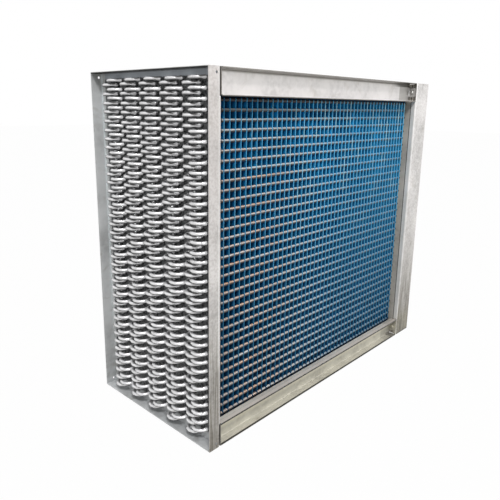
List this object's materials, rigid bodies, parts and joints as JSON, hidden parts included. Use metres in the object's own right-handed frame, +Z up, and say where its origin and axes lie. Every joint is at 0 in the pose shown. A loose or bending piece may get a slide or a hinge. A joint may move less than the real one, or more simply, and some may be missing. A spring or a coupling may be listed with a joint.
{
  "type": "finned tube heat exchanger",
  "caption": "Tall water coil for an air duct: blue upright fins on deep staggered tube rows, sheet end plates, open channel rails, return bends on one side, pipe headers on the other.",
  "frame": {"origin": "centre of the object's footprint, on the surface it stands on", "axes": "+Z up, -Y towards the camera side of the fins, +X from the return bends to the pipe connections"},
  "size_m": [1.1846, 0.504, 1],
  "materials": {
    "galvanised_sheet": "plain galvanised sheet, lightly stained and brushed by handling",
    "blue_fin_coating": "blue corrosion coating on aluminium fins; the tubes through them are bare copper",
    "header_copper": "bare drawn copper pipe",
    "plug_brass": "turned brass",
    "zinc_screw": "zinc-plated steel"
  },
  "bodies": {
    "root": {"bottom_plate": "galvanised_sheet", "bottom_rail_front": "galvanised_sheet", "bottom_rail_rear": "galvanised_sheet", "edge_strip_front_left": "galvanised_sheet", "edge_strip_front_right": "galvanised_sheet", "edge_strip_rear_left": "galvanised_sheet", "edge_strip_rear_right": "galvanised_sheet", "end_plate_left": "galvanised_sheet", "end_plate_right": "galvanised_sheet", "fin_pack": "blue_fin_coating", "rail_screw_bottom_front_left": "zinc_screw", "rail_screw_bottom_front_right": "zinc_screw", "rail_screw_bottom_rear_left": "zinc_screw", "rail_screw_bottom_rear_right": "zinc_screw", "rail_screw_top_front_left": "zinc_screw", "rail_screw_top_front_right": "zinc_screw", "rail_screw_top_rear_left": "zinc_screw", "rail_screw_top_rear_right": "zinc_screw", "return_bracket_lower": "galvanised_sheet", "return_bracket_upper": "galvanised_sheet", "return_drain_plug": "plug_brass", "return_header": "header_copper", "return_vent_plug": "plug_brass", "supply_bracket_lower": "galvanised_sheet", "supply_bracket_upper": "galvanised_sheet", "supply_drain_plug": "plug_brass", "supply_header": "header_copper", "supply_vent_plug": "plug_brass", "top_plate": "galvanised_sheet", "top_rail_front": "galvanised_sheet", "top_rail_rear": "galvanised_sheet"}
  },
  "joints": []
}
